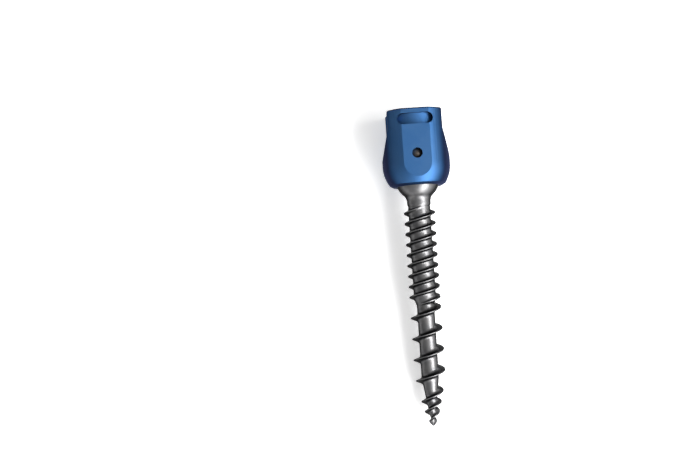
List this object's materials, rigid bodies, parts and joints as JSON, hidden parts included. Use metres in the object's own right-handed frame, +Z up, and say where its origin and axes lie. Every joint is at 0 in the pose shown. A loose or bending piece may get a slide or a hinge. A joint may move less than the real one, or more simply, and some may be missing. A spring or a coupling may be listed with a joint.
{
  "type": "pedicle screw",
  "caption": "Polyaxial bone screw: a tapered, partly double-threaded shank on a ball that tilts in a forked head with a rod channel, closed by a set screw.",
  "frame": {"origin": "middle of the rod channel, on the axis of the rod that it takes", "axes": "+Y along the bore of the head to its open end, +X along the rod, +Z up with the screw lying on the back of its head"},
  "size_m": [0.014, 0.0651, 0.0128],
  "materials": {
    "anodised_head": "titanium anodised blue, satin",
    "pin": "bare titanium, dull",
    "inner_titanium": "bare titanium, machined",
    "shank_titanium": "bare titanium, blasted to a satin grey",
    "set_screw_titanium": "bare titanium, machined"
  },
  "bodies": {
    "tulip": {"tulip_head": "anodised_head", "crown_pin_front": "pin", "crown_pin_back": "pin"},
    "friction_ring": {"friction_ring": "inner_titanium"},
    "bone_screw": {"bone_screw": "shank_titanium"},
    "crown": {"crown": "inner_titanium"},
    "set_screw": {"set_screw": "set_screw_titanium"}
  },
  "joints": [
    {"name": "head_spin", "type": "hinge", "parent": "tulip", "child": "friction_ring", "pos_m": [0, -0.0077, 0], "axis": [0, 1, 0], "continuous": true},
    {"name": "head_tilt", "type": "hinge", "parent": "friction_ring", "child": "bone_screw", "pos_m": [0, -0.0077, 0], "axis": [1, 0, 0], "range_deg": [-31.7, 22.3]},
    {"name": "crown_float", "type": "slide", "parent": "tulip", "child": "crown", "axis": [0, 1, 0], "range_m": [0, 0.00025]},
    {"name": "set_screw_out", "type": "slide", "parent": "tulip", "child": "set_screw", "axis": [0, 1, 0], "range_m": [0, 0.0045]}
  ]
}
